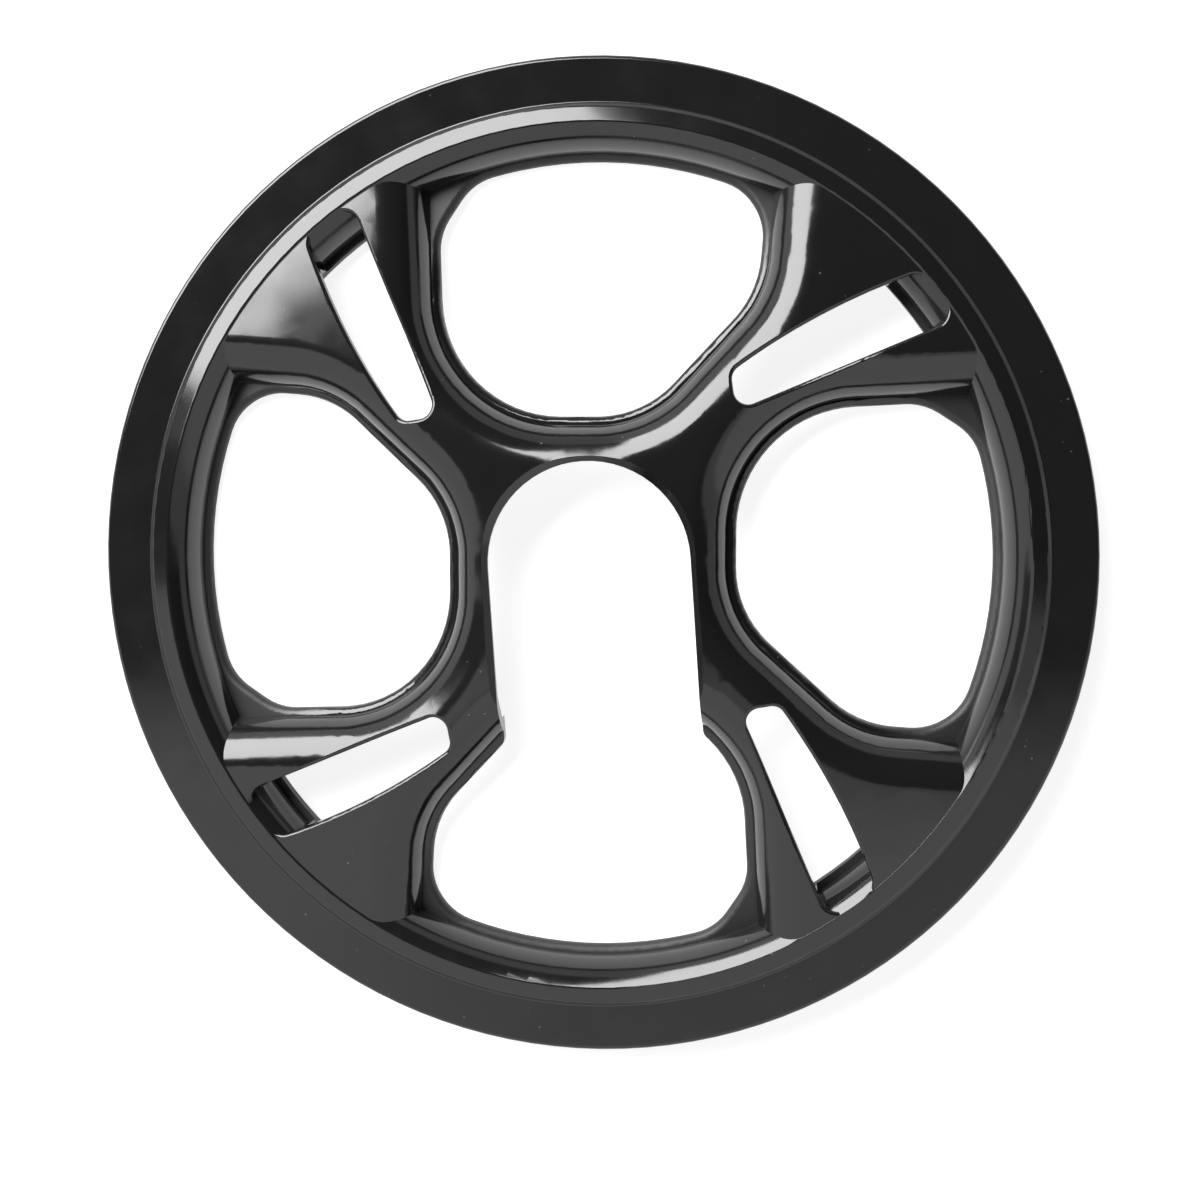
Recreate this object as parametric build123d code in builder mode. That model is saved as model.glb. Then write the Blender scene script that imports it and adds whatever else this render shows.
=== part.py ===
from build123d import *
import math
import os

# Rim, from the outside inwards: widths of its rings and heights above the plane of the back, all in millimetres.
OUTER_R = 91.0
FLANGE_WIDTH = 8.4
STEP_WIDTH = 0.8
SHOULDER_WIDTH = 2.8
ROLL_WIDTH = 4.6
BORDER = 1.4
WALL = 2.2
FLANGE_FRONT = 9.0
STEP_HEIGHT = 0.7
SHOULDER_RISE = 0.8
FLANGE_ROUND = 0.8
STEP_ROUND = 0.5
SHOULDER_ROUND = 0.8
CREST_ROUND = 0.8
STEP_R = OUTER_R - FLANGE_WIDTH
SHOULDER_R = STEP_R - STEP_WIDTH
CREST_R = SHOULDER_R - SHOULDER_WIDTH
RIM_WALL_R = CREST_R - ROLL_WIDTH
RIM_MIDDLE_R = RIM_WALL_R + WALL / 2
RIM_BACK_R = RIM_WALL_R + WALL
LIP_R = RIM_WALL_R - BORDER
FLANGE_BACK = FLANGE_FRONT - WALL
SHOULDER_Z = FLANGE_FRONT + STEP_HEIGHT
CREST_Z = SHOULDER_Z + SHOULDER_RISE

# Spider: a thin crowned shell whose flanks roll over to the windows, with a low arched border at their feet.
SPOKES = 4
WINDOW_INNER = 26.4
ROLL_SHARE = 0.315
CREST_STEP = 0.25
DOME_RISE = 4.65
ARCH_TOP = 6.8
BORDER_ROUND = 1.2
CORE_CHAMFER = 3.6
LEG_END_Z = CREST_Z - CREST_STEP
DOME_TOP = LEG_END_Z + DOME_RISE
ROLL_R = ROLL_SHARE * WINDOW_INNER
RIM_ROLL_Z = CREST_Z - (2 * ROLL_R * ROLL_WIDTH - ROLL_WIDTH**2) ** 0.5
RIM_BACK_TOP = (CREST_R + WALL / 4, CREST_Z - WALL)

# Window as it stands at the top of the disc. Corners on the hub edge: across and radius, as shares of its height.
# Corners of the flanks: across, height from hub edge to lip, and radius, as shares of the lip's radius and that height.
HUB_CORNERS = [(-1.023, 0.852), (0.352, 0.72)]
FLANK_CORNERS = [(0.411, 0.48, 0.26), (0.425, 0.757, 0.144), (-0.394, 0.724, 0.144)]
FLARE_ENDS = [0.101, -0.044]
LEG_ENDS = [0.464, -0.422]
LIP_CORNER = 0.137

# Slot that splits a spoke into two legs, as it stands at the upper left of the disc.
SLOT_INNER = [(-34.2, 25.4), (-27.4, 26.4)]
SLOT_OUTER_ANGLES = [123.75, 131.3]
SLOT_END_GAP = 0.6
SLOT_END_R = CREST_R - SLOT_END_GAP
SLOT_BULGE = 1.5
SLOT_INNER_CORNER = 2.6
SLOT_OUTER_CORNER = 3.0
SLOT_EDGE = 0.6

# Crank opening: a round hub hole and a neck of the same width, which runs down into the lower window.
HUB_R = 18.4
HUB_CHAMFER = 1.4
HUB_EDGE_Z = DOME_TOP - DOME_RISE * (HUB_R / CREST_R) ** 2
NECK_LENGTH = 40.0
NECK_CORNER = 3.0
PATTERN_TURN = -3.8

# Screw boss behind the end of each spoke.
BOSS_LIP_GAP = 3.5
BOSS_CIRCLE_R = LIP_R - BOSS_LIP_GAP
BOSS_ANGLE = 140.2
BOSS_R = 4.0
BOSS_HOLE_R = 1.65
BOSS_HOLE_DEPTH = 7.0
ON_BACK = (Align.CENTER, Align.CENTER, Align.MIN)

# A round takes up no more than this share of the edges that meet at its corner.
ROUND_ROOM = 0.92


def sphere_drop(radius, rise, at):
    """How far a sphere that drops by `rise` at `radius` has dropped `at` another radius."""
    sphere_r = (radius**2 + rise**2) / (2 * rise)
    return sphere_r - (sphere_r**2 - at**2) ** 0.5


def crown(radius, top, edge_z):
    """Half section below an arc from `top` on the axis to `edge_z` at `radius`, level from there outwards."""
    middle_z = top - sphere_drop(radius, top - edge_z, radius / 2)
    outside = OUTER_R + FLANGE_WIDTH
    with BuildSketch(Plane.XZ) as section:
        with BuildLine():
            Polyline((radius, edge_z), (outside, edge_z), (outside, -WALL), (0, -WALL), (0, top))
            ThreePointArc((0, top), (radius / 2, middle_z), (radius, edge_z))
        make_face()
    return section.sketch


def round_corners(face, vertices, radius):
    """Round some corners of a sketch with one radius, limited by the edges that meet at them."""
    rooms = []
    for vertex in vertices:
        edges = face.edges().sort_by_distance(vertex)[:2]
        ways = []
        for edge in edges:
            near, far = sorted([0, 1], key=lambda end: (edge @ end - Vector(vertex)).length)
            ways.append((edge % near) * (far - near))
        opening = math.radians(ways[0].get_angle(ways[1]))
        rooms.append(ROUND_ROOM * min(edge.length for edge in edges) * math.tan(opening / 2))
    fillet(vertices, min(radius, *rooms))


def rounded(corners):
    """Polygon from its corners, each a point and a radius; None leaves the corner sharp."""
    with BuildSketch() as face:
        with BuildLine():
            Polyline(*[point for point, _ in corners], close=True)
        make_face()
        for point, radius in corners:
            if radius:
                round_corners(face, face.vertices().sort_by_distance(Vector(*point))[:1], radius)
    return face.sketch


def grown(sketch, amount):
    """The sketch with its outline moved outwards."""
    with BuildSketch() as face:
        add(sketch)
        offset(amount=amount)
    return face.sketch


def around(radius=0, angle=PATTERN_TURN):
    """One place for each spoke."""
    return PolarLocations(radius, SPOKES, start_angle=angle)


def turned(section):
    """The section, drawn with the radius across and the height up, stood up ready to be revolved."""
    with BuildSketch(Plane.XZ) as upright:
        add(section)
    return upright.sketch


window_depth = LIP_R - WINDOW_INNER
corners = [((across * WINDOW_INNER, WINDOW_INNER), radius * WINDOW_INNER) for across, radius in HUB_CORNERS]
for across, height, radius in FLANK_CORNERS:
    corners.append(((across * LIP_R, WINDOW_INNER + height * window_depth), radius * LIP_R))
flares, legs = [
    [((across * LIP_R, OUTER_R + FLANGE_WIDTH), None) for across in ends] for ends in (FLARE_ENDS, LEG_ENDS)
]
open_window = rounded(corners[:-1] + flares + corners[-1:])
between_legs = rounded(corners[:-2] + legs)

with BuildSketch() as window:
    add(open_window)
    Circle(LIP_R, mode=Mode.INTERSECT)
    round_corners(window, window.vertices().sort_by_distance(Vector())[-2:], LIP_CORNER * LIP_R)

with BuildSketch() as slot:
    with BuildLine():
        slot_outer = [Vector(CREST_R, 0).rotate(Axis.Z, angle) for angle in SLOT_OUTER_ANGLES]
        Polyline(*SLOT_INNER, *slot_outer)
        SagittaArc(slot_outer[-1], SLOT_INNER[0], -SLOT_BULGE)
    make_face()
    Circle(SLOT_END_R, mode=Mode.INTERSECT)
    round_corners(slot, slot.vertices().sort_by_distance(Vector())[:2], SLOT_INNER_CORNER)
    round_corners(slot, slot.vertices().sort_by_distance(Vector())[-2:], SLOT_OUTER_CORNER)

with BuildSketch() as keyhole:
    Circle(HUB_R)
    Rectangle(2 * HUB_R, NECK_LENGTH, align=(Align.CENTER, Align.MAX))

with BuildSketch() as crank_opening:
    add(keyhole.sketch)
    with Locations(Rotation(0, 0, 180 + PATTERN_TURN)):
        add(window.sketch)
    mouth = crank_opening.vertices().filter_by(lambda v: v.Y < -HUB_R and abs(abs(v.X) - HUB_R) < 0.01)
    round_corners(crank_opening, mouth, NECK_CORNER)

with BuildSketch() as rim_section:
    with BuildLine():
        Polyline(
            (OUTER_R, FLANGE_BACK),
            (OUTER_R, FLANGE_FRONT),
            (STEP_R, FLANGE_FRONT),
            (SHOULDER_R, SHOULDER_Z),
            (CREST_R, CREST_Z),
        )
        TangentArc((RIM_WALL_R, RIM_ROLL_Z), (CREST_R, CREST_Z), tangent=(0, 1))
        Polyline((RIM_WALL_R, RIM_ROLL_Z), (RIM_WALL_R, 0), (RIM_BACK_R, 0), (RIM_BACK_R, RIM_ROLL_Z))
        TangentArc((RIM_BACK_R, RIM_ROLL_Z), RIM_BACK_TOP, tangent=(0, 1))
        Polyline(RIM_BACK_TOP, (STEP_R, FLANGE_BACK), (OUTER_R, FLANGE_BACK))
    make_face()
    for corner, radius in [
        ((OUTER_R, FLANGE_FRONT), FLANGE_ROUND),
        ((STEP_R, FLANGE_FRONT), STEP_ROUND),
        ((SHOULDER_R, SHOULDER_Z), SHOULDER_ROUND),
        ((CREST_R, CREST_Z), CREST_ROUND),
    ]:
        round_corners(rim_section, rim_section.vertices().sort_by_distance(Vector(*corner))[:1], radius)

with BuildSketch() as rim_hollow:
    with BuildLine():
        Polyline(
            (RIM_MIDDLE_R, 0),
            (OUTER_R, 0),
            (OUTER_R, CREST_Z - WALL / 2),
            (CREST_R - WALL / 4, CREST_Z - WALL / 2),
            (RIM_MIDDLE_R, RIM_ROLL_Z + WALL / 2),
            close=True,
        )
    make_face()


def front_edges(form, inside_r, outside_r):
    """Edges of the crowned front whose middle lies between two radii: the edges of windows, not of the disc."""
    front = form.faces().filter_by(GeomType.SPHERE)[0]
    return front.edges().filter_by(lambda edge: inside_r - WALL < edge_r(edge) < outside_r)


def edge_r(edge):
    """Distance of the middle of an edge from the axis."""
    return (edge @ 0.5).cross(Vector(0, 0, 1)).length


def crowned_form(reach, inset, drop, soften, size):
    """Hub and spokes under the crown, with softened flanks, out to the radius `reach`."""
    form_r = OUTER_R - FLANGE_WIDTH / 2
    top = DOME_TOP - drop
    with BuildPart() as form:
        with BuildSketch():
            Circle(form_r)
            with around():
                add(grown(between_legs, inset), mode=Mode.SUBTRACT)
        extrude(amount=DOME_TOP)
        revolve(crown(OUTER_R, top, top - sphere_drop(CREST_R, DOME_RISE, OUTER_R)), mode=Mode.INTERSECT)
        soften(front_edges(form, WINDOW_INNER - inset, form_r - WALL), size)
        with BuildSketch():
            Circle(reach)
        extrude(amount=DOME_TOP, mode=Mode.INTERSECT)
    return form.part


with BuildPart() as border:
    with BuildSketch():
        Circle(RIM_MIDDLE_R)
        with around():
            add(window.sketch, mode=Mode.SUBTRACT)
    extrude(amount=ARCH_TOP + WALL)
    revolve(crown(RIM_BACK_R, ARCH_TOP + WALL, WALL), mode=Mode.INTERSECT)
    fillet(front_edges(border, WINDOW_INNER, RIM_WALL_R), BORDER_ROUND)
    with BuildSketch():
        with around():
            add(slot.sketch)
        Circle(LIP_R, mode=Mode.INTERSECT)
    extrude(amount=DOME_TOP, mode=Mode.SUBTRACT)

with BuildPart() as spider:
    add(crowned_form(CREST_R, BORDER, 0, fillet, ROLL_R))
    with BuildSketch():
        with around():
            add(slot.sketch)
    extrude(amount=DOME_TOP, mode=Mode.SUBTRACT)
    slot_edges = spider.edges(Select.LAST).filter_by(lambda edge: edge.bounding_box().min.Z > LEG_END_Z - WALL)
    fillet(slot_edges, SLOT_EDGE)
    with BuildSketch(Plane.XY.offset(HUB_EDGE_Z - 2 * HUB_CHAMFER)):
        add(grown(keyhole.sketch, -HUB_CHAMFER))
    extrude(amount=4 * HUB_CHAMFER, taper=-45, mode=Mode.SUBTRACT)
    revolve(turned(rim_hollow.sketch), mode=Mode.SUBTRACT)

with BuildPart() as chain_guard:
    add(spider.part)
    add(border.part)
    revolve(crown(RIM_BACK_R, ARCH_TOP, 0), mode=Mode.SUBTRACT)
    add(crowned_form(LIP_R, BORDER + WALL, WALL, chamfer, CORE_CHAMFER), mode=Mode.SUBTRACT)
    extrude(crank_opening.sketch, amount=DOME_TOP, mode=Mode.SUBTRACT)
    revolve(turned(rim_section.sketch))
    with around(BOSS_CIRCLE_R, BOSS_ANGLE):
        Cylinder(BOSS_R, LEG_END_Z, align=ON_BACK)
        Cylinder(BOSS_HOLE_R, BOSS_HOLE_DEPTH, align=ON_BACK, mode=Mode.SUBTRACT)

os.makedirs("parts", exist_ok=True)
chain_guard.part.label = "chain guard"
export_step(chain_guard.part, "parts/chain_guard.step")
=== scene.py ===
"""Studio scene of the bicycle chain guard: glossy black moulding on a white table."""
import math

import bpy
import numpy as np
from mathutils import Matrix, Vector


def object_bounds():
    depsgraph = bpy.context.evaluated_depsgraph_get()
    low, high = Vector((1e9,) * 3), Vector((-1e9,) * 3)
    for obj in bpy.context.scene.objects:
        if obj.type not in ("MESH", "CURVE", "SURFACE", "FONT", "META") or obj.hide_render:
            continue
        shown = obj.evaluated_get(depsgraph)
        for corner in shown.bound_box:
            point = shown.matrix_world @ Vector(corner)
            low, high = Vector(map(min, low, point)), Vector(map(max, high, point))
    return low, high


# Lengths are in metres, unless a name ends in MM.

# Camera: its tilt from the disc's axis, its turn round that axis and its distance from the point on
# the axis that it aims at. That point is seen at AIM_PIXEL of the picture.
VIEW_TILT = math.radians(7.0)
VIEW_TURN = math.radians(32.2)
VIEW_DISTANCE = 0.350
AIM_HEIGHT = 0.0079
AIM_PIXEL = (591.4, 561.1)
IMAGE_SIZE = 1200
PICTURE_TURN = math.radians(-3.8)
SENSOR_MM = 36.0
LENS_MM = 57.4
CLIP_START = 0.01

# Studio: a softbox at the upper left of the picture, and a dark ceiling that ends above its lower part.
# The ceiling's edge and reach are given in ceiling heights.
KEY_TURN = math.radians(132.0)
KEY_ZENITH = math.radians(48.5)
KEY_DISTANCE = 0.9
KEY_SIZE = (0.80, 0.66)
KEY_POWER = 19.0
CEILING_HEIGHT = 1.0
CEILING_EDGE_SLOPE = -0.178
CEILING_REACH = 2.4
CEILING_GREY = 0.02
CEILING_ROUGHNESS = 1.0
FLOOR_SIZE = 12.0
FLOOR_WHITE = 0.4
FLOOR_ROUGHNESS = 0.9
FLOOR_GLOW = 0.86

# Surroundings: they fade from white to dim over these ranges of a direction's X and Y.
WORLD_WHITE = 1.0
WORLD_DIM = 0.55
WORLD_AMBIENT = 0.35
WORLD_LEFT = (-0.27, -0.11)
WORLD_LOW = (-0.36, -0.31)

# Shading: it runs smooth over edges that turn by less than the crease angle. Corners of faces that lie
# within a seam step are at the same place.
CREASE = math.radians(28.0)
SEAM_STEP = 1e-6
TINY = 1e-30

# Plastic: dust specks in patches, hazy gloss, slight waves, and a duller finish low on the moulding.
PLASTIC_BLACK = (0.009, 0.009, 0.0095, 1)
PLASTIC_IOR = 1.6
DUST_GREY = (0.16, 0.155, 0.15, 1)
SPECK_SCALE = 420.0
SPECK_EDGE = (0.05, 0.09)
PATCH_SCALE = 70.0
PATCH_DETAIL = 3.0
PATCH_EDGE = (0.56, 0.66)
DUST_COVER = 0.8
HAZE_SCALE = 120.0
HAZE_DETAIL = 5.0
HAZE_RANGE = (0.3, 0.7)
GLOSS_ROUGHNESS = (0.09, 0.16)
DULL_HEIGHTS = (0.0035, 0.0055)
DULL_ROUGHNESS = 0.55
WAVE_SCALE = 55.0
WAVE_DETAIL = 1.0
WAVE_STRENGTH = 0.12
WAVE_DEPTH = 0.0006


def direction(turn, zenith):
    """Unit vector at a turn round the disc's axis and an angle from the zenith."""
    return Vector(
        (
            math.cos(turn) * math.sin(zenith),
            math.sin(turn) * math.sin(zenith),
            math.cos(zenith),
        )
    )


def facing(back, up):
    """Rotation whose local Z is `back` and whose local Y leans towards `up`."""
    side = up.cross(back).normalized()
    return Matrix((side, back.cross(side), back)).transposed()


def place(thing, location, rotation):
    thing.matrix_world = Matrix.Translation(location) @ rotation.to_4x4()
    bpy.context.scene.collection.objects.link(thing)


def make_camera():
    data = bpy.data.cameras.new("camera")
    data.sensor_width = SENSOR_MM
    data.lens = LENS_MM
    data.shift_x = (IMAGE_SIZE / 2 - AIM_PIXEL[0]) / IMAGE_SIZE
    data.shift_y = (AIM_PIXEL[1] - IMAGE_SIZE / 2) / IMAGE_SIZE
    data.clip_start = CLIP_START
    camera = bpy.data.objects.new("camera", data)
    aim = Vector((0, 0, AIM_HEIGHT))
    back = direction(VIEW_TURN, VIEW_TILT)
    up = direction(math.pi / 2 + PICTURE_TURN, math.pi / 2)
    place(camera, aim + back * VIEW_DISTANCE, facing(back, up))
    bpy.context.scene.camera = camera


def make_key():
    data = bpy.data.lights.new("key", "AREA")
    data.shape = "RECTANGLE"
    data.size, data.size_y = KEY_SIZE
    data.energy = KEY_POWER
    lamp = bpy.data.objects.new("key", data)
    back = direction(KEY_TURN + PICTURE_TURN, KEY_ZENITH)
    place(lamp, back * KEY_DISTANCE, facing(back, Vector((0, 0, 1))))
    lamp.visible_camera = False


def combine(nodes, links, operation, first, second):
    """Result of a math node on two values."""
    node = nodes.new("ShaderNodeMath")
    node.operation = operation
    links.new(first, node.inputs[0])
    links.new(second, node.inputs[1])
    return node.outputs[0]


def remap(nodes, links, source, bounds, results):
    """The source's range turned into another, clamped."""
    node = nodes.new("ShaderNodeMapRange")
    node.inputs["From Min"].default_value, node.inputs["From Max"].default_value = bounds
    node.inputs["To Min"].default_value, node.inputs["To Max"].default_value = results
    links.new(source, node.inputs["Value"])
    return node.outputs["Result"]


def axes(nodes, links, space):
    """X, Y and Z of the texture coordinates of a kind."""
    node = nodes.new("ShaderNodeSeparateXYZ")
    links.new(nodes.new("ShaderNodeTexCoord").outputs[space], node.inputs["Vector"])
    return node.outputs


def texture(nodes, links, kind, scale, **settings):
    """Procedural texture fixed to the object."""
    coordinates = nodes.new("ShaderNodeTexCoord")
    node = nodes.new(kind)
    node.inputs["Scale"].default_value = scale
    for name, value in settings.items():
        node.inputs[name].default_value = value
    links.new(coordinates.outputs["Object"], node.inputs["Vector"])
    return node


def seen_rays(nodes, links):
    """1 for camera, glossy and transmission rays, 0 for the rest."""
    path = nodes.new("ShaderNodeLightPath")
    seen = path.outputs["Is Camera Ray"]
    for name in ("Is Glossy Ray", "Is Transmission Ray"):
        seen = combine(nodes, links, "MAXIMUM", seen, path.outputs[name])
    return seen


def make_world():
    """Surroundings that look white at the left and low in the picture and dimmer elsewhere, and that
    light the scene less than they show."""
    world = bpy.data.worlds.new("studio")
    bpy.context.scene.world = world
    world.use_nodes = True
    nodes, links = world.node_tree.nodes, world.node_tree.links
    towards = axes(nodes, links, "Generated")
    left = remap(nodes, links, towards["X"], WORLD_LEFT, (WORLD_WHITE, WORLD_DIM))
    low = remap(nodes, links, towards["Y"], WORLD_LOW, (WORLD_WHITE, WORLD_DIM))
    level = nodes.new("ShaderNodeMapRange")
    level.inputs["To Min"].default_value = WORLD_AMBIENT
    links.new(combine(nodes, links, "MAXIMUM", left, low), level.inputs["To Max"])
    links.new(seen_rays(nodes, links), level.inputs["Value"])
    background = nodes["Background"]
    background.inputs["Color"].default_value = (1, 1, 1, 1)
    links.new(level.outputs["Result"], background.inputs["Strength"])


def matte(name, grey, roughness):
    """Grey material without gloss."""
    material = bpy.data.materials.new(name)
    material.use_nodes = True
    shader = material.node_tree.nodes["Principled BSDF"]
    shader.inputs["Base Color"].default_value = (grey, grey, grey, 1)
    shader.inputs["Roughness"].default_value = roughness
    shader.inputs["Specular IOR Level"].default_value = 0.0
    return material


def floor_material():
    """White table that glows where it is seen or mirrored, and lights nothing by that."""
    material = matte("white_table", FLOOR_WHITE, FLOOR_ROUGHNESS)
    nodes, links = material.node_tree.nodes, material.node_tree.links
    shader = nodes["Principled BSDF"]
    shader.inputs["Emission Color"].default_value = (1, 1, 1, 1)
    glow = remap(nodes, links, seen_rays(nodes, links), (0.0, 1.0), (0.0, FLOOR_GLOW))
    links.new(glow, shader.inputs["Emission Strength"])
    return material


def stage_sheet(name, outline, height, material):
    """Level sheet that isn't part of the object."""
    mesh = bpy.data.meshes.new(name)
    corners = [(*point, height) for point in outline]
    mesh.from_pydata(corners, [], [tuple(range(len(corners)))])
    mesh.materials.append(material)
    sheet = bpy.data.objects.new(name, mesh)
    bpy.context.scene.collection.objects.link(sheet)
    return sheet


def make_stage(floor_z):
    half = FLOOR_SIZE / 2
    outline = [(-half, -half), (half, -half), (half, half), (-half, half)]
    stage_sheet("floor", outline, floor_z, floor_material())

    edge = CEILING_EDGE_SLOPE * CEILING_HEIGHT
    reach = CEILING_REACH * CEILING_HEIGHT
    turn = Matrix.Rotation(PICTURE_TURN, 2)
    outline = [(-reach, edge), (reach, edge), (reach, reach), (-reach, reach)]
    outline = [turn @ Vector(point) for point in outline]
    dark = matte("dark_ceiling", CEILING_GREY, CEILING_ROUGHNESS)
    stage_sheet("ceiling", outline, CEILING_HEIGHT, dark).visible_camera = False


def smooth_shading(mesh):
    """Shade the moulding smooth, also across the seams between its faces, but not over its creases.

    Only the shading normals are set: the vertices and faces stay as they are.
    """
    points = np.empty(len(mesh.vertices) * 3)
    mesh.vertices.foreach_get("co", points)
    points = points.reshape(-1, 3)
    triangles = np.empty(len(mesh.loops), int)
    mesh.loops.foreach_get("vertex_index", triangles)

    # Normals within each CAD face, whose corners are its own.
    corners = points[triangles].reshape(-1, 3, 3)
    ahead = np.roll(corners, -1, axis=1) - corners
    behind = np.roll(corners, 1, axis=1) - corners
    across = np.cross(ahead, behind)
    lengths = (ahead**2).sum(axis=2) * (behind**2).sum(axis=2)
    shares = across / np.maximum(lengths, TINY)[..., None]
    normals = np.zeros_like(points)
    np.add.at(normals, triangles, shares.reshape(-1, 3))
    normals /= np.maximum(np.linalg.norm(normals, axis=1, keepdims=True), TINY)
    areas = np.bincount(triangles, np.linalg.norm(across, axis=2).ravel(), len(points))

    # Normals of corners at the same place joined, where they differ by less than the crease.
    weighted = normals * areas[:, None] ** 2
    steps = np.round(points / SEAM_STEP).astype(int)
    places = np.unique(steps, axis=0, return_inverse=True)[1].ravel()
    order = np.argsort(places, kind="stable")
    joined = weighted.copy()
    for step in range(1, np.bincount(places).max()):
        same = np.flatnonzero(places[order[step:]] == places[order[:-step]])
        first, second = order[same], order[same + step]
        smooth = (normals[first] * normals[second]).sum(axis=1) > math.cos(CREASE)
        first, second = first[smooth], second[smooth]
        joined[first] += weighted[second]
        joined[second] += weighted[first]
    joined /= np.maximum(np.linalg.norm(joined, axis=1, keepdims=True), TINY)
    mesh.shade_smooth()
    mesh.normals_split_custom_set_from_vertices(joined.tolist())


def black_plastic():
    material = bpy.data.materials.new("black_plastic_gloss")
    material.use_nodes = True
    nodes, links = material.node_tree.nodes, material.node_tree.links
    shader = nodes["Principled BSDF"]
    shader.inputs["IOR"].default_value = PLASTIC_IOR

    specks = texture(nodes, links, "ShaderNodeTexVoronoi", SPECK_SCALE)
    patches = texture(nodes, links, "ShaderNodeTexNoise", PATCH_SCALE, Detail=PATCH_DETAIL)
    speck = remap(nodes, links, specks.outputs["Distance"], SPECK_EDGE, (1.0, 0.0))
    dusty = remap(nodes, links, patches.outputs["Fac"], PATCH_EDGE, (0.0, DUST_COVER))
    colour = nodes.new("ShaderNodeMixRGB")
    colour.inputs["Color1"].default_value = PLASTIC_BLACK
    colour.inputs["Color2"].default_value = DUST_GREY
    links.new(combine(nodes, links, "MULTIPLY", speck, dusty), colour.inputs["Fac"])
    links.new(colour.outputs["Color"], shader.inputs["Base Color"])

    haze = texture(nodes, links, "ShaderNodeTexNoise", HAZE_SCALE, Detail=HAZE_DETAIL)
    gloss = remap(nodes, links, haze.outputs["Fac"], HAZE_RANGE, GLOSS_ROUGHNESS)
    height = axes(nodes, links, "Object")["Z"]
    dull = remap(nodes, links, height, DULL_HEIGHTS, (DULL_ROUGHNESS, 0.0))
    links.new(combine(nodes, links, "MAXIMUM", gloss, dull), shader.inputs["Roughness"])

    waves = texture(nodes, links, "ShaderNodeTexNoise", WAVE_SCALE, Detail=WAVE_DETAIL)
    bump = nodes.new("ShaderNodeBump")
    bump.inputs["Strength"].default_value = WAVE_STRENGTH
    bump.inputs["Distance"].default_value = WAVE_DEPTH
    links.new(waves.outputs["Fac"], bump.inputs["Height"])
    links.new(bump.outputs["Normal"], shader.inputs["Normal"])
    return material


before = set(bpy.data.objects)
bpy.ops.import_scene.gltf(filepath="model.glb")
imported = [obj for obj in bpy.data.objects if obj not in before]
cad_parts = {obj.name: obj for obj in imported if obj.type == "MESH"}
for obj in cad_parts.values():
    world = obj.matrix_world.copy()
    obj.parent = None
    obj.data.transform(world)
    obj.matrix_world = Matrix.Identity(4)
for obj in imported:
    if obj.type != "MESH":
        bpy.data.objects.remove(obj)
cad_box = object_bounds()

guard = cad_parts["chain_guard"]
guard.data.materials.clear()
guard.data.materials.append(black_plastic())
smooth_shading(guard.data)

make_stage(cad_box[0].z)
make_world()
make_key()
make_camera()
bpy.context.scene.view_settings.view_transform = "Standard"
